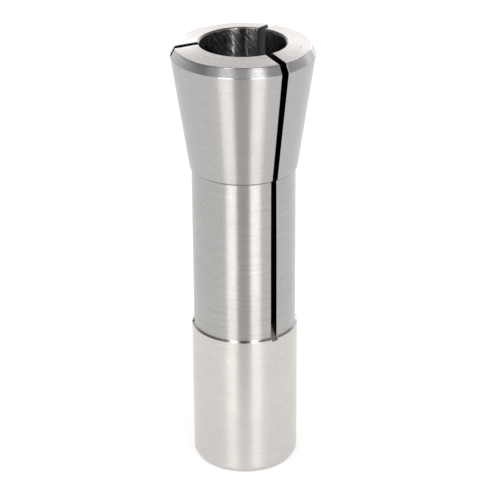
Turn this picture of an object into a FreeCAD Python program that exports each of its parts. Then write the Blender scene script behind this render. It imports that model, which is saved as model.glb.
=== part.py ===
import FreeCAD, Part
import os
import Sketcher
from FreeCAD import Placement, Rotation, Vector

# A draw-in spring collet for a milling spindle: one turned, slit and ground piece of steel.
# Millimetres. The rear end stands on z = 0, the nose looks up, and the axis is Z.

doc = FreeCAD.newDocument("milling_machine_collet")

# Driving dimensions
sizes = [
    ("overall_length", 101.6, "rear end to the top of the nose face"),
    ("nose_diameter", 31.75, "largest diameter, at the top of the taper"),
    ("taper_half_angle", 8.425, "half of the 16 deg 51 min taper"),
    ("face_rise", 0.75, "the nose face rises this much from its edge to the bore"),
    ("nose_edge_width", 1.05, "bevel between nose face and taper, across"),
    ("nose_edge_height", 2.05, "bevel between nose face and taper, along the axis"),
    ("shank_diameter", 24.13, "rear shank, and the small end of the taper"),
    ("shank_length", 34.1, "rear end to the ledge above the shank"),
    ("relief_depth", 0.46, "how far the waist lies below the shank, per side"),
    ("lead_width", 0.75, "rear bevel across"),
    ("lead_height", 1.3, "rear bevel along the axis"),
    ("bore_diameter", 19.05, "gripping bore"),
    ("bore_edge", 0.35, "broken edge at the mouth of the bore"),
    ("thread_core_diameter", 9.92, "tapping hole of the 7/16-20 drawbar thread"),
    ("thread_length", 25.4, "rear end to the end of the tapping hole"),
    ("thread_mouth", 0.8, "countersink of the tapping hole, per side"),
    ("drill_half_angle", 59.0, "cone between tapping hole and bore"),
    ("slit_count", 3, "saw cuts that free the fingers"),
    ("slit_width", 1.45, "thickness of the slitting saw"),
    ("slit_past_ledge", 0.5, "the cuts end this far below the ledge"),
    ("saw_diameter", 63.5, "slitting saw"),
    ("saw_reach", 4.0, "closest the saw comes to the axis"),
    ("key_slot_width", 3.97, "slot for the spindle's key"),
    ("key_slot_depth", 2.4, "below the shank's surface"),
    ("key_slot_length", 22.2, "rear end to the slot's round end"),
    ("overrun", 1.0, "tools leave the metal by this much"),
]
sheet = doc.addObject("Spreadsheet::Sheet", "Sizes")
for row, (alias, value, note) in enumerate(sizes, start=1):
    sheet.set(f"A{row}", alias)
    sheet.set(f"B{row}", str(value))
    sheet.setAlias(f"B{row}", alias)
    sheet.set(f"C{row}", note)
doc.recompute()

# The heights and radii that several features share, worked out from the sheet
shank_radius = "Sizes.shank_diameter / 2"
nose_radius = "Sizes.nose_diameter / 2"
bore_radius = "Sizes.bore_diameter / 2"
core_radius = "Sizes.thread_core_diameter / 2"
waist_radius = f"{shank_radius} - Sizes.relief_depth"
face_edge_radius = f"{nose_radius} - Sizes.nose_edge_width"
face_edge_height = "Sizes.overall_length - Sizes.face_rise"
taper_top = f"{face_edge_height} - Sizes.nose_edge_height"
taper_height = f"({nose_radius} - {shank_radius}) / tan(Sizes.taper_half_angle * 1 deg)"
taper_bottom = f"{taper_top} - {taper_height}"
cone_height = f"({bore_radius} - {core_radius}) / tan(Sizes.drill_half_angle * 1 deg)"
slit_end = "Sizes.shank_length - Sizes.slit_past_ledge"
saw_radius = "Sizes.saw_diameter / 2"


def length(expression):
    # what an expression on the sheet comes to, in plain millimetres
    result = sheet.evalExpression(expression)
    return float(getattr(result, "Value", result))


def origin_feature(body, role):
    return next(item for item in body.Origin.OriginFeatures if item.Role == role)


def new_sketch(body, name, role):
    sketch = body.newObject("Sketcher::SketchObject", name)
    sketch.AttachmentSupport = [(origin_feature(body, role), "")]
    sketch.MapMode = "FlatFace"
    return sketch


def bind(sketch, constraint, name, expression):
    # adds one dimension to the sketch and ties it to the sheet
    sketch.renameConstraint(sketch.addConstraint(constraint), name)
    sketch.setExpression(f"Constraints.{name}", expression)


def place_point(sketch, edge, end, name, across, up):
    # fixes one corner by its distance from the axis and its height
    bind(sketch, Sketcher.Constraint("DistanceX", -1, 1, edge, end, length(across)), f"{name}_across", across)
    bind(sketch, Sketcher.Constraint("DistanceY", -1, 1, edge, end, length(up)), f"{name}_up", up)


def closed_outline(sketch, corners):
    # straight edges from corner to corner, each corner fixed by two dimensions
    spots = [Vector(length(across), length(up), 0) for _, across, up in corners]
    for start, end in zip(spots, spots[1:] + spots[:1]):
        sketch.addGeometry(Part.LineSegment(start, end))
    for edge, (name, across, up) in enumerate(corners):
        sketch.addConstraint(Sketcher.Constraint("Coincident", edge - 1 if edge else len(corners) - 1, 2, edge, 1))
        place_point(sketch, edge, 1, name, across, up)


# Turned blank: the half section, from the mouth of the thread round the outside and down the bore
collet = doc.addObject("PartDesign::Body", "Collet")
collet.Label = "collet"
section = new_sketch(collet, "TurnedSection", "YZ_Plane")
closed_outline(section, [
    ("thread_mouth", f"{core_radius} + Sizes.thread_mouth", "0"),
    ("rear_edge", f"{shank_radius} - Sizes.lead_width", "0"),
    ("lead_top", shank_radius, "Sizes.lead_height"),
    ("ledge_foot", shank_radius, "Sizes.shank_length"),
    ("ledge_top", waist_radius, "Sizes.shank_length + Sizes.relief_depth"),
    ("waist_top", waist_radius, f"{taper_bottom} - Sizes.relief_depth"),
    ("taper_foot", shank_radius, taper_bottom),
    ("taper_top", nose_radius, taper_top),
    ("face_edge", face_edge_radius, face_edge_height),
    ("bore_mouth", f"{bore_radius} + Sizes.bore_edge", "Sizes.overall_length"),
    ("bore_top", bore_radius, "Sizes.overall_length - Sizes.bore_edge"),
    ("bore_foot", bore_radius, f"Sizes.thread_length + {cone_height}"),
    ("core_top", core_radius, "Sizes.thread_length"),
    ("core_foot", core_radius, "Sizes.thread_mouth"),
])
blank = collet.newObject("PartDesign::Revolution", "TurnedBlank")
blank.Profile = section
blank.ReferenceAxis = (section, ["V_Axis"])
blank.Angle = 360
doc.recompute()
blank_volume = blank.Shape.Volume

# One saw cut, seen from the side: in from the nose, along the axis, with the saw's round end
cut = new_sketch(collet, "SawPath", "XZ_Plane")
reach = "Sizes.saw_reach"
outside = f"{nose_radius} + Sizes.overrun"
above = "Sizes.overall_length + Sizes.overrun"
saw_centre = f"{reach} + {saw_radius}"
saw_drop = f"sqrt(pow({saw_radius}; 2) - pow({saw_centre} - {shank_radius}; 2))"
saw_height = f"{slit_end} + {saw_drop}"
exit_drop = f"sqrt(pow({saw_radius}; 2) - pow({saw_centre} - ({outside}); 2))"
top_inner = Vector(length(reach), length(above), 0)
top_outer = Vector(length(outside), length(above), 0)
saw_exit = Vector(length(outside), length(f"{saw_height} - {exit_drop}"), 0)
saw_nearest = Vector(length(reach), length(saw_height), 0)
centre = Vector(length(saw_centre), length(saw_height), 0)
saw_circle = Part.Circle(centre, Vector(0, 0, 1), length(saw_radius))
cut.addGeometry(Part.LineSegment(saw_nearest, top_inner))
cut.addGeometry(Part.LineSegment(top_inner, top_outer))
cut.addGeometry(Part.LineSegment(top_outer, saw_exit))
cut.addGeometry(Part.ArcOfCircle(saw_circle, saw_circle.parameter(saw_nearest), saw_circle.parameter(saw_exit)))
for first, first_end, second, second_end in [(0, 2, 1, 1), (1, 2, 2, 1), (2, 2, 3, 2), (3, 1, 0, 1)]:
    cut.addConstraint(Sketcher.Constraint("Coincident", first, first_end, second, second_end))
place_point(cut, 0, 2, "inner", reach, above)
place_point(cut, 1, 2, "outer", outside, above)
cut.addConstraint(Sketcher.Constraint("Vertical", 0))
cut.addConstraint(Sketcher.Constraint("Vertical", 2))
place_point(cut, 3, 3, "saw_centre", saw_centre, saw_height)
slit = collet.newObject("PartDesign::Pocket", "Slit")
slit.Profile = cut
slit.Midplane = True
slit.setExpression("Length", "Sizes.slit_width")
doc.recompute()
slit_volume = slit.Shape.Volume

slits = collet.newObject("PartDesign::PolarPattern", "Slits")
slits.Originals = [slit]
slits.Axis = (origin_feature(collet, "Z_Axis"), [""])
slits.Angle = 360
slits.setExpression("Occurrences", "Sizes.slit_count")
collet.Tip = slits
doc.recompute()
slits_volume = slits.Shape.Volume

# Key slot along the rear of the shank, milled on the side away from the first slit
key = new_sketch(collet, "KeySlotOutline", "YZ_Plane")
key_half = "Sizes.key_slot_width / 2"
key_arc_height = f"Sizes.key_slot_length - {key_half}"
low_left = Vector(-length(key_half), -length("Sizes.overrun"), 0)
low_right = Vector(length(key_half), -length("Sizes.overrun"), 0)
arc_right = Vector(length(key_half), length(key_arc_height), 0)
arc_left = Vector(-length(key_half), length(key_arc_height), 0)
arc_centre = Vector(0, length(key_arc_height), 0)
round_end = Part.Circle(arc_centre, Vector(0, 0, 1), length(key_half))
key.addGeometry(Part.LineSegment(low_left, low_right))
key.addGeometry(Part.LineSegment(low_right, arc_right))
key.addGeometry(Part.ArcOfCircle(round_end, round_end.parameter(arc_right), round_end.parameter(arc_left)))
key.addGeometry(Part.LineSegment(arc_left, low_left))
for first, first_end, second, second_end in [(0, 2, 1, 1), (1, 2, 2, 1), (2, 2, 3, 1), (3, 2, 0, 1)]:
    key.addConstraint(Sketcher.Constraint("Coincident", first, first_end, second, second_end))
key.addConstraint(Sketcher.Constraint("Vertical", 1))
key.addConstraint(Sketcher.Constraint("Vertical", 3))
place_point(key, 0, 1, "low_left", f"-{key_half}", "-Sizes.overrun")
place_point(key, 0, 2, "low_right", key_half, "-Sizes.overrun")
key.addConstraint(Sketcher.Constraint("Horizontal", 2, 1, 2, 3))
key.addConstraint(Sketcher.Constraint("Horizontal", 2, 2, 2, 3))
round_end_up = Sketcher.Constraint("DistanceY", -1, 1, 2, 3, length(key_arc_height))
bind(key, round_end_up, "round_end_up", key_arc_height)
floor_place = f"Sizes.key_slot_depth - {shank_radius}"
key.AttachmentOffset = Placement(Vector(0, 0, length(floor_place)), Rotation())
key.setExpression("AttachmentOffset.Base.z", floor_place)
key_slot = collet.newObject("PartDesign::Pocket", "KeySlot")
key_slot.Profile = key
key_slot.setExpression("Length", "Sizes.key_slot_depth + Sizes.overrun")
collet.Tip = key_slot
doc.recompute()

# Every feature is sound, and every cut took metal away
for item in doc.Objects:
    faults = {"Invalid", "Error"} & set(item.State)
    if faults:
        raise RuntimeError(f"{item.Label} did not build: {sorted(faults)}")
volumes = [blank_volume, slit_volume, slits_volume, collet.Shape.Volume]
if any(later >= earlier for earlier, later in zip(volumes, volumes[1:])):
    raise RuntimeError(f"a cut took nothing away: {volumes}")
if collet.Shape.isNull() or not collet.Shape.isValid() or len(collet.Shape.Solids) != 1:
    raise RuntimeError("the collet is not one sound solid")

os.makedirs("parts", exist_ok=True)
collet.Shape.exportStep(f"parts/{collet.Label}.step")
box = collet.Shape.BoundBox
print(f"{collet.Label}: {box.XLength:.3f} x {box.YLength:.3f} x {box.ZLength:.3f} mm, "
      f"volume {collet.Shape.Volume:.1f} mm3, faces {len(collet.Shape.Faces)}")
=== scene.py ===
import math

import bpy
from mathutils import Matrix, Vector


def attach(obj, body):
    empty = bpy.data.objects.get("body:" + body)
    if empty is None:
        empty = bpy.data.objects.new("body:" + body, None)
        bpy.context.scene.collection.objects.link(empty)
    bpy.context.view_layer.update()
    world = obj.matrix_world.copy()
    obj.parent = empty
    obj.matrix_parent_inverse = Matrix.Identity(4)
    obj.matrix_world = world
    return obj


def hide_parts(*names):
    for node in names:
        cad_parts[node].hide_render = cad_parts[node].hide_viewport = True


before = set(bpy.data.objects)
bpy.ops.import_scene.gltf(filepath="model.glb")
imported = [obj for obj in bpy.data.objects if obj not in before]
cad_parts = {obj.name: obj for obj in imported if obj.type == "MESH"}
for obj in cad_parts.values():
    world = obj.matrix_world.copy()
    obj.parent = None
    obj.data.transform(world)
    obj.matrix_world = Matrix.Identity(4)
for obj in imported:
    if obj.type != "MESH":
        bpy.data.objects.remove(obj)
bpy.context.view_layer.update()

mm = 0.001


# small helpers for node trees
def link(tree, source, target):
    tree.links.new(source, target)


def addNode(tree, kind, **settings):
    node = tree.nodes.new(kind)
    for key, value in settings.items():
        setattr(node, key, value)
    return node


def feed(tree, socket, value):
    if hasattr(value, "is_linked"):
        tree.links.new(value, socket)
    else:
        socket.default_value = value


def maths(tree, operation, *values):
    node = addNode(tree, "ShaderNodeMath", operation=operation)
    for index, value in enumerate(values):
        feed(tree, node.inputs[index], value)
    return node.outputs[0]


# one finger of the collet
collet = {
    "length": 101.6,            # all in millimetres
    "rearEdge": 11.315,         # radius where the rear face meets the lead bevel
    "leadHeight": 1.3,
    "shank": 12.065,
    "ledge": 34.1,              # top of the ground shank
    "waist": 11.605,
    "taperFoot": 73.09,
    "rim": 15.875,
    "rimHeight": 98.80,
    "faceEdge": 14.825,
    "faceEdgeHeight": 100.85,
    "bore": 9.525,
    "boreFoot": 28.14,
    "mouthEdge": 0.35,
    "threadMinor": 4.96,
    "threadMajor": 5.556,
    "threadPitch": 1.27,
    "threadTop": 25.4,
    "threadMouth": 0.8,
    "fingers": 3,
    "slitWidth": 1.45,
    "slitFoot": 33.6,
    "sawRadius": 31.75,
    "sawCentre": (35.75, 54.74),
    "slitSpring": ((33.6, 0.06), (55.0, 0.06), (73.1, -0.02), (82.0, 0.01), (98.8, 0.15), (101.6, 0.15)),
    "edgeRound": 0.10,          # broken edges of the sawn slits
    "edgeFade": 0.35,           # over which they die out at the slits' ends
    "supportGap": 0.09,         # narrow strip beside each rounded edge
    "columns": 90,              # between two slits
    "keyHalfWidth": 1.985,
    "keyFloor": 9.665,
    "keyTop": 22.2,
}

zones = [
    "rearFace", "turnedStepPaintedShade", "shankGround", "waistTurned", "taperGround", "noseBevel",
    "noseFace", "boreMouth", "boreTurned", "sawnWallPaintedShade", "sawnFloor", "thread", "keyFloor",
    "brokenEdge",
]
zoneOf = {name: index for index, name in enumerate(zones)}


def cornerList(c):
    slope = c["ledge"] + (c["shank"] - c["waist"])
    lower = c["taperFoot"] - (c["shank"] - c["waist"])
    return [
        # radius, height, corner round, zone of the run that follows
        (c["threadMinor"] + c["threadMouth"], 0.0, 0.08, "rearFace"),
        (c["rearEdge"], 0.0, 0.22, "shankGround"),
        (c["shank"], c["leadHeight"], 0.3, "shankGround"),
        # the ledge and taper-foot steps take the darker step colour, which paints their shadow line
        (c["shank"], c["ledge"], 0.06, "turnedStepPaintedShade"),
        (c["waist"], slope, 0.15, "waistTurned"),
        (c["waist"], lower, 0.15, "turnedStepPaintedShade"),
        (c["shank"], c["taperFoot"], 0.06, "taperGround"),
        (c["rim"], c["rimHeight"], 0.35, "noseBevel"),
        (c["faceEdge"], c["faceEdgeHeight"], 0.35, "noseFace"),
        (c["bore"] + c["mouthEdge"], c["length"], 0.08, "boreMouth"),
        (c["bore"], c["length"] - c["mouthEdge"], 0.12, "boreTurned"),
        (c["bore"], c["boreFoot"], 0.15, "boreTurned"),
        (c["threadMinor"], c["threadTop"], 0.1, "thread"),
    ]


def buildProfile(c):
    corners = cornerList(c)
    start = Vector((c["threadMinor"] + c["threadMouth"] - 0.15, 0.15))
    end = Vector((c["threadMinor"], c["threadTop"] - 0.3))
    stations = [start] + [Vector(item[:2]) for item in corners] + [end]
    runs = [(b - a).normalized() for a, b in zip(stations, stations[1:])]
    lengths = [(b - a).length for a, b in zip(stations, stations[1:])]
    turns = [0.0]
    for before, after in zip(runs, runs[1:]):
        turns.append(math.atan2(before.x * after.y - before.y * after.x, before.dot(after)))
    turns.append(0.0)
    support = c["supportGap"]
    points = [{"at": start, "run": 0, "along": 0.0, "zone": "thread"}]
    for index, item in enumerate(corners, start=1):
        turn = turns[index]
        reach = item[2] * math.tan(abs(turn) / 2)
        steps = 6 if item[2] > 0.1 else 4
        before = corners[index - 2][3] if index > 1 else "thread"
        gap = min(support, 0.3 * lengths[index - 1])
        spot = lengths[index - 1] - reach - gap
        points.append({"at": stations[index] - runs[index - 1] * (reach + gap), "run": index - 1,
                       "along": spot, "zone": before})
        side = 1.0 if turn > 0 else -1.0
        normal = Vector((runs[index - 1].y, -runs[index - 1].x))
        centre = stations[index] - runs[index - 1] * reach - normal * item[2] * side
        for step in range(steps + 1):
            angle = turn * step / steps
            spun = Matrix.Rotation(angle, 2) @ normal
            points.append({"at": centre + spun * item[2] * side, "corner": index, "normal": spun,
                           "round": item[2] * side, "zone": before if step < steps / 2 else item[3]})
        gap = min(support, 0.3 * lengths[index])
        points.append({"at": stations[index] + runs[index] * (reach + gap), "run": index,
                       "along": reach + gap, "zone": item[3]})
    points.append({"at": end, "run": len(runs) - 1, "along": lengths[-1], "zone": "thread"})
    return points, stations, runs, lengths, turns


def addStation(points, runs, stations, run, along, zone, mark):
    place = {"at": stations[run] + runs[run] * along, "run": run, "along": along, "zone": zone, mark: True}
    for spot, point in enumerate(points):
        later = point.get("run", point.get("corner", 0) - 0.5) > run
        if later or (point.get("run") == run and point["along"] > along):
            break
    points.insert(spot, place)


def insetPoint(point, depth, stations, runs, lengths, turns):
    if "corner" in point:
        if point["round"] < 0 or depth < point["round"]:
            return point["at"] - point["normal"] * depth
        index = point["corner"]
        half = turns[index] / 2
        spread = Vector((runs[index].y, -runs[index].x)) + Vector((runs[index - 1].y, -runs[index - 1].x))
        return stations[index] - spread.normalized() * depth / math.cos(half)
    run = point["run"]
    low = depth * math.tan(turns[run] / 2) if turns[run] > 0 else 0.0
    high = lengths[run] - (depth * math.tan(turns[run + 1] / 2) if turns[run + 1] > 0 else 0.0)
    along = min(max(point["along"], low), high)
    normal = Vector((runs[run].y, -runs[run].x))
    return stations[run] + runs[run] * along - normal * depth


def makeFinger(c):
    points, stations, runs, lengths, turns = buildProfile(c)
    shankRun, boreRun = 3, 11
    footUp = c["slitFoot"] - c["leadHeight"]
    reach = c["sawCentre"][0] - c["bore"]
    boreEnd = c["sawCentre"][1] - math.sqrt(c["sawRadius"] ** 2 - reach ** 2)
    footDown = (c["length"] - c["mouthEdge"]) - boreEnd
    fade = c["edgeFade"]
    for extra in (0.0, 0.08, 0.18, 0.3):
        mark = "slitEnd" if extra == 0.0 else "slitFade"
        addStation(points, runs, stations, shankRun, footUp + extra, "shankGround", mark)
        addStation(points, runs, stations, boreRun, footDown - extra, "boreTurned", mark)
    for run, start, zone in ((5, c["ledge"] + 0.46, "waistTurned"), (7, c["taperFoot"], "taperGround")):
        for (low, _) in c["slitSpring"][1:-1]:
            along = (low - start) / runs[run].y
            if 0.5 < along < lengths[run] - 0.8:
                addStation(points, runs, stations, run, along, zone, "bend")
    for (low, _) in c["slitSpring"][-2:0:-1]:
        along = (c["length"] - c["mouthEdge"]) - low
        if 0.5 < along < footDown - 0.8:
            addStation(points, runs, stations, boreRun, along, "boreTurned", "bend")
    ends = [i for i, p in enumerate(points) if p.get("slitEnd")]
    first, last = ends
    half = c["slitWidth"] / 2
    sector = math.pi / c["fingers"]
    rounds = 4
    vertices = []
    faces = []
    faceZone = []

    def put(x, y, z):
        vertices.append((x * mm, y * mm, z * mm))
        return len(vertices) - 1

    def onPlane(side, across, radius, height):
        inward = math.sqrt(max(radius * radius - across * across, 0.0))
        turn = side * sector
        x = inward * math.cos(turn) + across * math.sin(turn) * side
        y = inward * math.sin(turn) - across * math.cos(turn) * side
        return put(x, y, height)

    def addFace(corners, zone):
        kept = []
        for corner in corners:
            if corner not in kept:
                kept.append(corner)
        if len(kept) > 2:
            faces.append(kept)
            faceZone.append(zoneOf[zone])

    def amount(index):
        here = points[index]["at"]
        return min(1.0, min((here - points[first]["at"]).length, (here - points[last]["at"]).length) / fade)

    def innerColumns(radius, across, height):
        edge = math.asin(across / radius)
        ring = []
        for column in range(1, c["columns"]):
            angle = (-sector + edge) + 2 * (sector - edge) * column / c["columns"]
            ring.append(put(radius * math.cos(angle), radius * math.sin(angle), height))
        return ring

    def halfSlit(height):
        for (low, before), (high, after) in zip(c["slitSpring"], c["slitSpring"][1:]):
            if low <= height <= high:
                return c["slitWidth"] / 2 + before + (after - before) * (height - low) / (high - low)
        return c["slitWidth"] / 2

    supportWidth = c["supportGap"]
    wholeRows = {}
    slitRows = {}
    walls = {-1: {}, 1: {}}
    for index, point in enumerate(points):
        radius, height = point["at"]
        if first < index < last:
            size = c["edgeRound"] * amount(index)
            half = halfSlit(height)
            sides = {}
            for side in (-1, 1):
                strip = []
                for step in range(rounds + 1):
                    angle = math.pi / 2 * (1 - step / rounds)
                    spot = insetPoint(point, size * (1 - math.cos(angle)), stations, runs, lengths, turns)
                    strip.append(onPlane(side, half + size * (1 - math.sin(angle)), spot.x, spot.y))
                strip.append(onPlane(side, half + size + supportWidth, radius, height))
                deep = insetPoint(point, size + supportWidth * amount(index), stations, runs, lengths, turns)
                walls[side][index] = (strip[0], onPlane(side, half, deep.x, deep.y))
                sides[side] = strip
            inner = innerColumns(radius, half + size + supportWidth, height)
            slitRows[index] = sides[-1] + inner + sides[1][::-1]
            continue
        half = c["slitWidth"] / 2
        if radius < 9.0:
            total = c["columns"] + 6
            ring = []
            for column in range(total + 1):
                angle = -sector + 2 * sector * column / total
                ring.append(put(radius * math.cos(angle), radius * math.sin(angle), height))
        else:
            offsets = (0.0, half / 2, half, half + supportWidth)
            left = [onPlane(-1, across, radius, height) for across in offsets]
            right = [onPlane(1, across, radius, height) for across in offsets]
            ring = left + innerColumns(radius, half + supportWidth, height) + right[::-1]
        wholeRows[index] = ring
        if index in (first, last):
            wall = [ring[2]] * (rounds + 1)
            otherWall = [ring[-3]] * (rounds + 1)
            slitRows[index] = wall + ring[3:-3] + otherWall
            walls[-1][index] = (ring[2], ring[2])
            walls[1][index] = (ring[-3], ring[-3])

    def joinRows(rows, order, edge=0):
        for low, high in order:
            a, b = rows[low], rows[high]
            for column in range(len(a) - 1):
                onEdge = column < edge or column >= len(a) - 1 - edge
                zone = "brokenEdge" if onEdge else points[low]["zone"]
                addFace((a[column], a[column + 1], b[column + 1], b[column]), zone)

    joinRows(wholeRows, [(i, i + 1) for i in range(first)])
    joinRows(wholeRows, [(i, i + 1) for i in range(last, len(points) - 1)])
    joinRows(slitRows, [(i, i + 1) for i in range(first, last)], rounds)

    # the saw's round floor, from the shank up into the bore
    sawX, sawZ = c["sawCentre"]
    bottom, top = wholeRows[first], wholeRows[last]
    startX = math.sqrt(c["shank"] ** 2 - half ** 2)
    endX = math.sqrt(c["bore"] ** 2 - half ** 2)
    floorSteps = 10
    for side in (-1, 1):
        pick = (0, 1, 2) if side < 0 else (-1, -2, -3)
        floorRows = [[bottom[i] for i in pick]]
        for step in range(1, floorSteps):
            across = startX + (endX - startX) * step / floorSteps
            height = sawZ - math.sqrt(c["sawRadius"] ** 2 - (sawX - across) ** 2)
            floorRows.append([onPlane(side, y, math.hypot(across, y), height) for y in (0.0, half / 2, half)])
        floorRows.append([top[i] for i in pick])
        for low, high in zip(floorRows, floorRows[1:]):
            for column in (0, 1):
                quad = (low[column], low[column + 1], high[column + 1], high[column])
                addFace(quad if side < 0 else quad[::-1], "sawnFloor")
        # the slit walls take the near-black colour, which paints the shade inside the slits
        outline = []
        for index in range(first, last + 1):
            outline.append(walls[side][index])
        for low, high in zip(outline, outline[1:]):
            quad = (low[0], high[0], high[1], low[1])
            addFace(quad if side < 0 else quad[::-1], "sawnWallPaintedShade")
        around = [pair[1] for pair in outline] + [row[2] for row in floorRows[1:-1]][::-1]
        addFace(around if side < 0 else around[::-1], "sawnWallPaintedShade")

    mesh = bpy.data.meshes.new("finger")
    mesh.from_pydata(vertices, [], faces)
    attribute = mesh.attributes.new("zone", "INT", "FACE")
    attribute.data.foreach_set("value", faceZone)
    mesh.validate()
    mesh.update()
    return mesh


print("finger: sector mesh made")


# materials
def newMaterial(name):
    material = bpy.data.materials.new(name)
    material.use_nodes = True
    tree = material.node_tree
    shader = tree.nodes["Principled BSDF"]
    shader.inputs["Metallic"].default_value = 1.0
    return material, tree, shader


def objectPoint(tree, scale=(1.0, 1.0, 1.0), place=(0.0, 0.0, 0.0), turn=(0.0, 0.0, 0.0)):
    coordinates = addNode(tree, "ShaderNodeTexCoord")
    mapping = addNode(tree, "ShaderNodeMapping")
    mapping.inputs["Scale"].default_value = scale
    mapping.inputs["Location"].default_value = place
    mapping.inputs["Rotation"].default_value = turn
    link(tree, coordinates.outputs["Object"], mapping.inputs["Vector"])
    return mapping.outputs["Vector"]


def noise(tree, vector, scale=1.0, detail=3.0, roughness=0.6):
    node = addNode(tree, "ShaderNodeTexNoise")
    node.inputs["Scale"].default_value = scale
    node.inputs["Detail"].default_value = detail
    node.inputs["Roughness"].default_value = roughness
    link(tree, vector, node.inputs["Vector"])
    return node.outputs["Fac"]


def ranged(tree, value, low, high, toLow, toHigh):
    node = addNode(tree, "ShaderNodeMapRange")
    node.inputs["From Min"].default_value = low
    node.inputs["From Max"].default_value = high
    node.inputs["To Min"].default_value = toLow
    node.inputs["To Max"].default_value = toHigh
    link(tree, value, node.inputs["Value"])
    return node.outputs["Result"]


def shade(tree, colour, factor):
    node = addNode(tree, "ShaderNodeVectorMath", operation="SCALE")
    feed(tree, node.inputs[0], colour)
    link(tree, factor, node.inputs["Scale"])
    return node.outputs[0]


def bump(tree, shader, height, distance, strength=1.0):
    node = addNode(tree, "ShaderNodeBump")
    node.inputs["Distance"].default_value = distance
    node.inputs["Strength"].default_value = strength
    link(tree, height, node.inputs["Height"])
    link(tree, node.outputs["Normal"], shader.inputs["Normal"])


def turnedTangent(tree, shader, amount, rotation):
    tangent = addNode(tree, "ShaderNodeTangent", direction_type="RADIAL", axis="Z")
    link(tree, tangent.outputs["Tangent"], shader.inputs["Tangent"])
    shader.inputs["Anisotropic"].default_value = amount
    shader.inputs["Anisotropic Rotation"].default_value = rotation


finishes = {
    # colour, roughness, anisotropy, lines per metre, line contrast, grain contrast, groove depth in mm
    "taperGround": ((0.512, 0.500, 0.489), 0.33, 1.0, 4200.0, 0.045, 0.10, 0.0012),
    "waistTurned": ((0.498, 0.487, 0.475), 0.33, 1.0, 3600.0, 0.08, 0.10, 0.0012),
    "shankGround": ((0.622, 0.601, 0.574), 0.32, 0.85, 4200.0, 0.04, 0.07, 0.0008),
    # painted shade: the turned steps at the ledge and the taper foot get a darker colour that draws their
    # shadow line
    "turnedStepPaintedShade": ((0.36, 0.353, 0.346), 0.24, 0.8, 3000.0, 0.03, 0.05, 0.0004),
    "noseBevel": ((0.42, 0.417, 0.428), 0.24, 0.6, 3000.0, 0.08, 0.10, 0.0004),
    "rearFace": ((0.56, 0.55, 0.54), 0.34, 0.6, 3000.0, 0.04, 0.05, 0.0004),
    "noseFace": ((0.640, 0.614, 0.602), 0.30, 0.6, 3400.0, 0.15, 0.26, 0.0004),
    "boreMouth": ((0.20, 0.196, 0.182), 0.34, 0.6, 3000.0, 0.05, 0.08, 0.0004),
    "brokenEdge": ((0.50, 0.49, 0.48), 0.35, 0.3, 3000.0, 0.03, 0.05, 0.0002),
    # painted shade: the sawn slit walls are coloured near black to stand for the shade inside the slits
    "sawnWallPaintedShade": ((0.011, 0.0107, 0.0104), 0.5, 0.3, 2600.0, 0.10, 0.10, 0.001),
    "sawnFloor": ((0.26, 0.245, 0.23), 0.42, 0.3, 2600.0, 0.10, 0.10, 0.001),
    "thread": ((0.30, 0.29, 0.28), 0.42, 0.4, 2600.0, 0.08, 0.08, 0.0008),
    "keyFloor": ((0.50, 0.49, 0.48), 0.36, 0.5, 2600.0, 0.05, 0.06, 0.0006),
}

wear = {
    "grainScale": (3000.0, 3000.0, 3000.0),     # all scales are in waves per metre
    "patchScale": (70.0, 70.0, 90.0),
    "patchLevels": (0.965, 1.035),
    "nickScale": (1300.0, 1300.0, 800.0),
    "nickRange": (0.665, 0.73),                 # only the peaks of the noise show
    "nickLift": 1.16,
    "scratchScale": (1900.0, 1900.0, 240.0),
    "scratchTurn": (0.5, 0.35, 0.0),
    "scratchRange": (0.69, 0.74),
    "scratchLift": 1.14,
}

boreMarksAndShade = {
    "paintedShadeTone": (0.125, 0.122, 0.122),      # painted shade: darkens the deep bore between the rubbed marks
    "bright": (0.93, 0.915, 0.915),     # what the reamer rubbed clean
    "roughness": 0.20,
    "twist": 56.0,                      # radians per metre of the reamer's marks
    "marksRound": 2800.0,
    "marksAlong": 480.0,
    "rubbedRange": (0.44, 0.67),
}


def turnedPoint(tree, name, scale):
    if name not in ("noseFace", "rearFace"):
        return objectPoint(tree, (140.0, 140.0, scale))
    split = addNode(tree, "ShaderNodeSeparateXYZ")
    link(tree, objectPoint(tree), split.inputs[0])
    x, y = split.outputs[0], split.outputs[1]
    squares = maths(tree, "ADD", maths(tree, "MULTIPLY", x, x), maths(tree, "MULTIPLY", y, y))
    radius = maths(tree, "SQRT", squares)
    joined = addNode(tree, "ShaderNodeCombineXYZ")
    link(tree, maths(tree, "MULTIPLY", x, 140.0), joined.inputs[0])
    link(tree, maths(tree, "MULTIPLY", y, 140.0), joined.inputs[1])
    link(tree, maths(tree, "MULTIPLY", radius, scale), joined.inputs[2])
    return joined.outputs[0]


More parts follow.
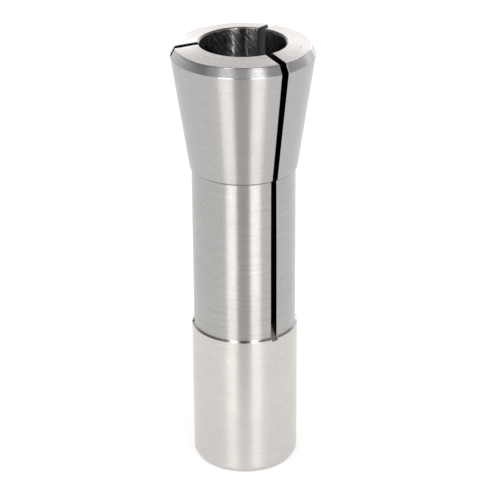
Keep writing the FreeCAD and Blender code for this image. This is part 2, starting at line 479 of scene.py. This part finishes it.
def metalFinish(name):
    colour, roughness, lay, scale, contrast, grainContrast, depth = finishes[name]
    material, tree, shader = newMaterial(name)
    fine = noise(tree, turnedPoint(tree, name, scale))
    grain = noise(tree, objectPoint(tree, wear["grainScale"]), detail=2.0)
    broad = noise(tree, objectPoint(tree, wear["patchScale"], (0.3, 0.1, 0.7)), detail=2.0)
    lines = ranged(tree, fine, 0.3, 0.7, 1.0 - contrast, 1.0 + contrast)
    specks = ranged(tree, grain, 0.25, 0.75, 1.0 - grainContrast, 1.0 + grainContrast)
    patches = ranged(tree, broad, 0.3, 0.7, *wear["patchLevels"])
    worn = noise(tree, objectPoint(tree, wear["nickScale"], (0.0, 0.7, 0.2)), detail=3.0)
    nicks = ranged(tree, worn, *wear["nickRange"], 1.0, wear["nickLift"])
    drag = objectPoint(tree, wear["scratchScale"], (0.4, 0.0, 0.9), wear["scratchTurn"])
    dragged = noise(tree, drag, detail=2.0)
    scratches = ranged(tree, dragged, *wear["scratchRange"], 1.0, wear["scratchLift"])
    factor = lines
    for layer in (specks, patches, nicks, scratches):
        factor = maths(tree, "MULTIPLY", factor, layer)
    link(tree, shade(tree, colour, factor), shader.inputs["Base Color"])
    link(tree, ranged(tree, broad, 0.3, 0.7, roughness - 0.02, roughness + 0.02), shader.inputs["Roughness"])
    turnedTangent(tree, shader, lay, 0.25)
    bump(tree, shader, fine, depth * mm)
    return material


def boreMaterial(f):
    material, tree, shader = newMaterial("boreTurned")
    point = objectPoint(tree)
    split = addNode(tree, "ShaderNodeSeparateXYZ")
    link(tree, point, split.inputs[0])
    twist = addNode(tree, "ShaderNodeVectorRotate", rotation_type="Z_AXIS")
    link(tree, point, twist.inputs["Vector"])
    link(tree, maths(tree, "MULTIPLY", split.outputs[2], -f["twist"]), twist.inputs["Angle"])
    stretched = addNode(tree, "ShaderNodeVectorMath", operation="MULTIPLY")
    link(tree, twist.outputs[0], stretched.inputs[0])
    stretched.inputs[1].default_value = (f["marksRound"], f["marksRound"], f["marksAlong"])
    marks = noise(tree, stretched.outputs[0], detail=3.0)
    rubbed = ranged(tree, marks, *f["rubbedRange"], 0.0, 1.0)
    blend = addNode(tree, "ShaderNodeMix", data_type="RGBA")
    link(tree, rubbed, blend.inputs[0])
    # painted shade: the dark tone under the rubbed reamer marks darkens the bore's recess
    blend.inputs[6].default_value = (*f["paintedShadeTone"], 1.0)
    blend.inputs[7].default_value = (*f["bright"], 1.0)
    link(tree, blend.outputs[2], shader.inputs["Base Color"])
    link(tree, ranged(tree, marks, 0.3, 0.7, f["roughness"] + 0.05, f["roughness"] - 0.05),
         shader.inputs["Roughness"])
    turnedTangent(tree, shader, 1.0, 0.25)
    bump(tree, shader, marks, 0.003 * mm)
    return material


materials = {name: metalFinish(name) for name in finishes}
materials["boreTurned"] = boreMaterial(boreMarksAndShade)
print("materials:", len(materials), "metal finishes")


# the collet tree
threadForm = {
    "Thread pitch": collet["threadPitch"] * mm,
    "Thread minor radius": collet["threadMinor"] * mm,
    "Thread major radius": collet["threadMajor"] * mm,
    "Thread crest": 0.42 * mm,
    "Thread flank": 0.345 * mm,
    "Thread root": 0.16 * mm,
    "Thread start": 0.15 * mm,
    "Thread end": (collet["threadTop"] - 0.3) * mm,
    "Mouth radius": (collet["threadMinor"] + collet["threadMouth"]) * mm,
    "Slot half width": collet["keyHalfWidth"] * mm,
    "Slot floor radius": collet["keyFloor"] * mm,
    "Slot top": (collet["keyTop"] - collet["keyHalfWidth"]) * mm,
}


def buildColletTree():
    tree = bpy.data.node_groups.new("colletTree", "GeometryNodeTree")
    tree.interface.new_socket("Geometry", in_out="INPUT", socket_type="NodeSocketGeometry")
    tree.interface.new_socket("Geometry", in_out="OUTPUT", socket_type="NodeSocketGeometry")
    tree.interface.new_socket("Finger count", in_out="INPUT", socket_type="NodeSocketInt")
    for name in threadForm:
        tree.interface.new_socket(name, in_out="INPUT", socket_type="NodeSocketFloat")
    entry = addNode(tree, "NodeGroupInput").outputs

    # the fingers round the axis
    line = addNode(tree, "GeometryNodeMeshLine")
    line.inputs["Offset"].default_value = (0.0, 0.0, 0.0)
    link(tree, entry["Finger count"], line.inputs["Count"])
    ring = addNode(tree, "GeometryNodeInstanceOnPoints")
    link(tree, line.outputs["Mesh"], ring.inputs["Points"])
    link(tree, entry["Geometry"], ring.inputs["Instance"])
    number = addNode(tree, "GeometryNodeInputIndex").outputs[0]
    turn = addNode(tree, "ShaderNodeCombineXYZ")
    share = maths(tree, "DIVIDE", 2 * math.pi, entry["Finger count"])
    link(tree, maths(tree, "MULTIPLY", maths(tree, "ADD", number, 0.5), share), turn.inputs[2])
    toTurn = addNode(tree, "FunctionNodeEulerToRotation")
    link(tree, turn.outputs[0], toTurn.inputs[0])
    link(tree, toTurn.outputs[0], ring.inputs["Rotation"])
    fingers = addNode(tree, "GeometryNodeRealizeInstances")
    link(tree, ring.outputs["Instances"], fingers.inputs[0])

    # the tapped thread: a grid bent to a right-hand helix, four rows to a pitch
    turnsMade = 22
    rows = 4 * turnsMade
    columnsRound = collet["fingers"] * (collet["columns"] + 6)
    sheet = addNode(tree, "GeometryNodeMeshGrid")
    sheet.inputs["Size X"].default_value = rows
    sheet.inputs["Size Y"].default_value = 1.0
    sheet.inputs["Vertices X"].default_value = rows + 1
    sheet.inputs["Vertices Y"].default_value = columnsRound + 1
    place = addNode(tree, "ShaderNodeSeparateXYZ")
    link(tree, addNode(tree, "GeometryNodeInputPosition").outputs[0], place.inputs[0])
    row = maths(tree, "ROUND", maths(tree, "ADD", place.outputs[0], rows / 2))
    angleShare = maths(tree, "ADD", place.outputs[1], 0.5)
    whole = maths(tree, "FLOOR", maths(tree, "DIVIDE", row, 4.0))
    part = maths(tree, "SUBTRACT", row, maths(tree, "MULTIPLY", whole, 4.0))
    climb = maths(tree, "MULTIPLY", maths(tree, "SUBTRACT", maths(tree, "ADD", whole, angleShare), 1.0),
                  entry["Thread pitch"])
    for size, name in ((0.5, "Thread crest"), (1.5, "Thread flank"), (2.5, "Thread root")):
        step = maths(tree, "MULTIPLY", maths(tree, "GREATER_THAN", part, size), entry[name])
        climb = maths(tree, "ADD", climb, step)
    height = maths(tree, "MINIMUM", maths(tree, "MAXIMUM", climb, entry["Thread start"]), entry["Thread end"])
    left = maths(tree, "SUBTRACT", entry["Thread end"], height)
    runOut = maths(tree, "MINIMUM", maths(tree, "DIVIDE", left, entry["Thread pitch"]), 1.0)
    groove = maths(tree, "MULTIPLY", maths(tree, "GREATER_THAN", part, 1.5), runOut)
    deep = maths(tree, "SUBTRACT", entry["Thread major radius"], entry["Thread minor radius"])
    wall = maths(tree, "ADD", entry["Thread minor radius"], maths(tree, "MULTIPLY", groove, deep))
    radius = maths(tree, "MAXIMUM", wall, maths(tree, "SUBTRACT", entry["Mouth radius"], height))
    angle = maths(tree, "MULTIPLY", angleShare, 2 * math.pi)
    bent = addNode(tree, "ShaderNodeCombineXYZ")
    link(tree, maths(tree, "MULTIPLY", radius, maths(tree, "COSINE", angle)), bent.inputs[0])
    link(tree, maths(tree, "MULTIPLY", radius, maths(tree, "SINE", angle)), bent.inputs[1])
    link(tree, height, bent.inputs[2])
    bend = addNode(tree, "GeometryNodeSetPosition")
    link(tree, sheet.outputs["Mesh"], bend.inputs["Geometry"])
    link(tree, bent.outputs[0], bend.inputs["Position"])
    threadMark = addNode(tree, "GeometryNodeStoreNamedAttribute", data_type="INT", domain="FACE")
    threadMark.inputs["Name"].default_value = "zone"
    threadMark.inputs["Value"].default_value = zoneOf["thread"]
    link(tree, bend.outputs[0], threadMark.inputs["Geometry"])

    joined = addNode(tree, "GeometryNodeJoinGeometry")
    link(tree, threadMark.outputs[0], joined.inputs[0])
    link(tree, fingers.outputs[0], joined.inputs[0])
    welded = addNode(tree, "GeometryNodeMergeByDistance")
    welded.inputs["Distance"].default_value = 0.0005 * mm
    link(tree, joined.outputs[0], welded.inputs["Geometry"])

    # the key slot: a long round-ended cutter let into the shank from outside
    cutter = addNode(tree, "GeometryNodeMeshCylinder")
    cutter.inputs["Vertices"].default_value = 64
    cutter.inputs["Depth"].default_value = 6 * mm
    link(tree, entry["Slot half width"], cutter.inputs["Radius"])
    aim = addNode(tree, "GeometryNodeTransform")
    link(tree, cutter.outputs["Mesh"], aim.inputs["Geometry"])
    aim.inputs["Rotation"].default_value = (0.0, math.pi / 2, 0.0)
    spot = addNode(tree, "ShaderNodeCombineXYZ")
    link(tree, maths(tree, "SUBTRACT", maths(tree, "MULTIPLY", entry["Slot floor radius"], -1.0), 3 * mm),
         spot.inputs[0])
    link(tree, entry["Slot top"], spot.inputs[2])
    link(tree, spot.outputs[0], aim.inputs["Translation"])
    cutPlace = addNode(tree, "ShaderNodeSeparateXYZ")
    link(tree, addNode(tree, "GeometryNodeInputPosition").outputs[0], cutPlace.inputs[0])
    stretch = addNode(tree, "GeometryNodeSetPosition")
    link(tree, aim.outputs[0], stretch.inputs["Geometry"])
    limit = maths(tree, "SUBTRACT", entry["Slot top"], 0.01 * mm)
    link(tree, maths(tree, "LESS_THAN", cutPlace.outputs[2], limit), stretch.inputs["Selection"])
    stretch.inputs["Offset"].default_value = (0.0, 0.0, -22 * mm)
    cutMark = addNode(tree, "GeometryNodeStoreNamedAttribute", data_type="INT", domain="FACE")
    cutMark.inputs["Name"].default_value = "zone"
    cutMark.inputs["Value"].default_value = zoneOf["keyFloor"]
    link(tree, stretch.outputs[0], cutMark.inputs["Geometry"])
    cut = addNode(tree, "GeometryNodeMeshBoolean", operation="DIFFERENCE", solver="EXACT")
    link(tree, welded.outputs[0], cut.inputs["Mesh 1"])
    link(tree, cutMark.outputs[0], cut.inputs["Mesh 2"])

    # smooth faces, sharp only where the metal turns a corner
    sharp = addNode(tree, "GeometryNodeInputMeshEdgeAngle").outputs["Unsigned Angle"]
    smoothFaces = addNode(tree, "GeometryNodeSetShadeSmooth", domain="FACE")
    link(tree, cut.outputs["Mesh"], smoothFaces.inputs["Geometry"])
    sharpEdges = addNode(tree, "GeometryNodeSetShadeSmooth", domain="EDGE")
    link(tree, smoothFaces.outputs[0], sharpEdges.inputs["Geometry"])
    link(tree, maths(tree, "GREATER_THAN", sharp, math.radians(28)), sharpEdges.inputs["Selection"])
    sharpEdges.inputs["Shade Smooth"].default_value = False

    shape = addNode(tree, "GeometryNodeRealizeInstances")
    link(tree, sharpEdges.outputs[0], shape.inputs[0])
    latest = shape.outputs[0]
    zone = addNode(tree, "GeometryNodeInputNamedAttribute", data_type="INT")
    zone.inputs["Name"].default_value = "zone"
    for name, index in zoneOf.items():
        same = maths(tree, "COMPARE", zone.outputs["Attribute"], float(index), 0.25)
        paint = addNode(tree, "GeometryNodeSetMaterial")
        paint.inputs["Material"].default_value = materials[name]
        link(tree, latest, paint.inputs["Geometry"])
        link(tree, same, paint.inputs["Selection"])
        latest = paint.outputs[0]
    leave = addNode(tree, "NodeGroupOutput")
    link(tree, latest, leave.inputs[0])
    return tree


def makeCollet():
    source = bpy.data.objects.new("fingerSource", makeFinger(collet))
    bpy.context.scene.collection.objects.link(source)
    modifier = source.modifiers.new("collet", "NODES")
    modifier.node_group = buildColletTree()
    for item in modifier.node_group.interface.items_tree:
        if item.in_out == "INPUT" and item.name in threadForm:
            modifier[item.identifier] = threadForm[item.name]
        if item.in_out == "INPUT" and item.name == "Finger count":
            modifier[item.identifier] = collet["fingers"]
    evaluated = source.evaluated_get(bpy.context.evaluated_depsgraph_get())
    mesh = bpy.data.meshes.new_from_object(evaluated)
    source.modifiers.remove(modifier)
    bpy.data.objects.remove(source)
    mesh.name = "steelCollet"
    piece = bpy.data.objects.new("steelCollet", mesh)
    bpy.context.scene.collection.objects.link(piece)
    return piece


steelCollet = makeCollet()
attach(steelCollet, "root")
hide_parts("collet")
print("collet:", len(steelCollet.data.polygons), "faces")


# camera, at the photograph's angle
cameraView = {
    "azimuth": 55.35,           # degrees round the collet
    "distance": 0.410396,       # from the axis, metres
    "height": 0.245513,
    "pitch": 25.276,
    "yaw": 0.183,
    "roll": 0.295,
    "lens": 143.99467,
}


def makeCamera(v):
    pitch, yaw, roll = (math.radians(v[key]) for key in ("pitch", "yaw", "roll"))
    forward = Vector((math.sin(yaw) * math.cos(pitch), math.cos(yaw) * math.cos(pitch), -math.sin(pitch)))
    right = Vector((math.cos(yaw), -math.sin(yaw), 0.0))
    down = forward.cross(right)
    across = math.cos(roll) * right + math.sin(roll) * down
    below = -math.sin(roll) * right + math.cos(roll) * down
    pose = Matrix((across, -below, -forward)).transposed().to_4x4()
    pose.translation = (0.0, -v["distance"], v["height"])
    data = bpy.data.cameras.new("camera")
    data.lens = v["lens"]
    data.sensor_width = 36.0
    data.clip_start = 0.01
    data.clip_end = 50.0
    camera = bpy.data.objects.new("camera", data)
    bpy.context.scene.collection.objects.link(camera)
    camera.matrix_world = Matrix.Rotation(math.radians(v["azimuth"]), 4, "Z") @ pose
    bpy.context.scene.camera = camera


makeCamera(cameraView)
print("camera: set")


# floor, world and studio light
studio = {
    "floorSize": 2.2,
    "floorColour": 0.92,
    "floorGlow": 0.6,           # share of plain white in what the camera and the metal see of the floor
    "worldFill": 1.0,
    "softboxes": [
        # name, azimuth from the camera, lowest and highest elevation, width in degrees,
        # distance, radiance, colour
        ("leftBox", -26.8, -2.0, 26.0, 20.5, 0.9, 4.3, (1.0, 0.985, 0.955)),
        ("rightBox", 24.0, -2.0, 32.0, 20.0, 0.9, 4.2, (1.0, 0.98, 0.96)),
        ("leftHighBox", -32.5, 45.0, 66.0, 11.5, 0.95, 5.4, (1.0, 0.99, 0.98)),
        ("rightHighBox", 29.0, 45.0, 66.0, 10.5, 0.95, 5.2, (1.0, 0.99, 0.98)),
        ("backBox", 156.0, 4.0, 32.0, 76.0, 1.0, 0.42, (1.0, 0.96, 0.925)),
        ("backLeftBox", -162.0, -2.0, 20.0, 12.0, 0.92, 3.6, (1.0, 0.99, 0.98)),
        ("backRightBox", 155.0, -2.0, 17.0, 12.0, 0.92, 2.6, (1.0, 0.99, 0.98)),
    ],
    "tableCards": [
        # name, azimuth, width, nearest and farthest reach, level
        ("tableCard", -1.4, 27.0, 0.05, 0.95, (0.76, 0.75, 0.74)),
        ("backTableCard", 176.0, 20.0, 0.05, 0.95, (0.45, 0.45, 0.45)),
    ],
    "cards": [
        # name, azimuth, lowest and highest elevation, width, distance, level
        ("lensCard", -1.4, 0.5, 24.0, 29.0, 1.0, (0.04, 0.037, 0.034)),
        ("lensTopCard", -1.5, 24.0, 50.0, 30.0, 1.02, (0.66, 0.645, 0.63)),
        ("leftCard", -84.0, 14.0, 22.0, 86.0, 1.05, (0.68, 0.68, 0.69)),
        ("rightCard", 84.0, 14.0, 22.0, 86.0, 1.05, (0.72, 0.70, 0.71)),
        ("leftTopCard", -41.0, 22.0, 50.0, 41.0, 1.06, (0.56, 0.56, 0.58)),
        ("leftSideCard", -101.0, 22.0, 50.0, 79.0, 1.06, (0.27, 0.27, 0.285)),
        ("rightTopCard", 72.0, 22.0, 50.0, 114.0, 1.06, (0.50, 0.49, 0.50)),
        ("topCard", -1.0, 50.0, 80.0, 40.0, 1.08, (0.03, 0.03, 0.03)),
        ("leftRoofCard", -76.0, 50.0, 80.0, 110.0, 1.08, (0.40, 0.40, 0.40)),
        ("rightRoofCard", 74.0, 50.0, 80.0, 110.0, 1.08, (0.32, 0.32, 0.32)),
        ("zenithCard", 0.0, 80.0, 89.9, 360.0, 1.08, (0.06, 0.06, 0.06)),
        ("backCard", 180.0, 26.0, 56.0, 70.0, 1.12, (0.87, 0.865, 0.865)),
        ("backRoofCard", 179.0, 56.0, 80.0, 100.0, 1.08, (0.06, 0.06, 0.06)),
    ],
}


def aroundCollet(azimuth, elevation, distance):
    turn = math.radians(cameraView["azimuth"] + azimuth)
    rise = math.radians(elevation)
    flat = distance * math.cos(rise)
    return Vector((flat * math.sin(turn), -flat * math.cos(turn), 0.05 + distance * math.sin(rise)))


def addSoftbox(name, azimuth, low, high, width, distance, radiance, colour):
    bottom = aroundCollet(azimuth, low, distance)
    top = aroundCollet(azimuth, high, distance)
    data = bpy.data.lights.new(name, "AREA")
    data.shape = "RECTANGLE"
    data.size = 2 * distance * math.tan(math.radians(width) / 2)
    data.size_y = (top - bottom).length
    data.energy = radiance * math.pi * data.size * data.size_y
    data.color = colour
    light = bpy.data.objects.new(name, data)
    bpy.context.scene.collection.objects.link(light)
    up = (top - bottom).normalized()
    turn = math.radians(cameraView["azimuth"] + azimuth)
    across = Vector((math.cos(turn), math.sin(turn), 0.0))
    pose = Matrix((across, up, across.cross(up))).transposed().to_4x4()
    pose.translation = (bottom + top) / 2
    light.matrix_world = pose
    light.visible_camera = False


def addCard(name, azimuth, low, high, width, distance, level):
    vertices = []
    faces = []
    steps = 12
    for step in range(steps + 1):
        turn = azimuth + width * (step / steps - 0.5)
        for elevation in (low, high):
            vertices.append(aroundCollet(turn, elevation, distance))
    for step in range(steps):
        base = 2 * step
        faces.append((base, base + 1, base + 3, base + 2))
    finishCard(name, vertices, faces, level)


def finishCard(name, vertices, faces, level):
    mesh = bpy.data.meshes.new(name)
    mesh.from_pydata(vertices, [], faces)
    material = bpy.data.materials.new(name)
    material.use_nodes = True
    tree = material.node_tree
    tree.nodes.clear()
    glow = addNode(tree, "ShaderNodeEmission")
    glow.inputs["Color"].default_value = (*level, 1.0)
    link(tree, glow.outputs[0], addNode(tree, "ShaderNodeOutputMaterial").inputs["Surface"])
    mesh.materials.append(material)
    card = bpy.data.objects.new(name, mesh)
    bpy.context.scene.collection.objects.link(card)
    card.visible_camera = False
    card.visible_diffuse = False
    card.visible_shadow = False


def addTableCard(name, azimuth, width, near, far, level):
    steps = 6
    vertices = []
    for step in range(steps + 1):
        turn = math.radians(cameraView["azimuth"] + azimuth + width * (step / steps - 0.5))
        for reach in (near, far):
            vertices.append((reach * math.sin(turn), -reach * math.cos(turn), 0.002))
    faces = [(2 * step, 2 * step + 1, 2 * step + 3, 2 * step + 2) for step in range(steps)]
    finishCard(name, vertices, faces, level)


for facts in studio["softboxes"]:
    addSoftbox(*facts)
for facts in studio["cards"]:
    addCard(*facts)
for facts in studio["tableCards"]:
    addTableCard(*facts)


def seenDirectly(tree):
    path = addNode(tree, "ShaderNodeLightPath").outputs
    seen = maths(tree, "ADD", path["Is Camera Ray"], path["Is Glossy Ray"])
    return maths(tree, "MINIMUM", maths(tree, "ADD", seen, path["Is Transmission Ray"]), 1.0)


def makeFloor():
    half = studio["floorSize"]
    mesh = bpy.data.meshes.new("floor")
    corners = [(-half, -half, 0), (half, -half, 0), (half, half, 0), (-half, half, 0)]
    mesh.from_pydata(corners, [], [(0, 1, 2, 3)])
    floor = bpy.data.objects.new("floor", mesh)
    bpy.context.scene.collection.objects.link(floor)
    material = bpy.data.materials.new("paleFloor")
    material.use_nodes = True
    tree = material.node_tree
    tree.nodes.clear()
    paper = addNode(tree, "ShaderNodeBsdfDiffuse")
    level = studio["floorColour"]
    paper.inputs["Color"].default_value = (level, level, level, 1.0)
    white = addNode(tree, "ShaderNodeEmission")
    mix = addNode(tree, "ShaderNodeMixShader")
    link(tree, maths(tree, "MULTIPLY", seenDirectly(tree), studio["floorGlow"]), mix.inputs[0])
    link(tree, paper.outputs[0], mix.inputs[1])
    link(tree, white.outputs[0], mix.inputs[2])
    link(tree, mix.outputs[0], addNode(tree, "ShaderNodeOutputMaterial").inputs["Surface"])
    mesh.materials.append(material)


makeFloor()


def makeWorld():
    world = bpy.data.worlds.new("studio")
    bpy.context.scene.world = world
    world.use_nodes = True
    tree = world.node_tree
    tree.nodes.clear()
    fill = addNode(tree, "ShaderNodeBackground")
    fill.inputs["Strength"].default_value = studio["worldFill"]
    white = addNode(tree, "ShaderNodeBackground")
    for shader in (fill, white):
        shader.inputs["Color"].default_value = (1.0, 1.0, 1.0, 1.0)
    mix = addNode(tree, "ShaderNodeMixShader")
    link(tree, seenDirectly(tree), mix.inputs[0])
    link(tree, fill.outputs[0], mix.inputs[1])
    link(tree, white.outputs[0], mix.inputs[2])
    link(tree, mix.outputs[0], addNode(tree, "ShaderNodeOutputWorld").inputs["Surface"])


makeWorld()
bpy.context.scene.view_settings.view_transform = "Standard"
print("studio: floor, world, softboxes and cards made")
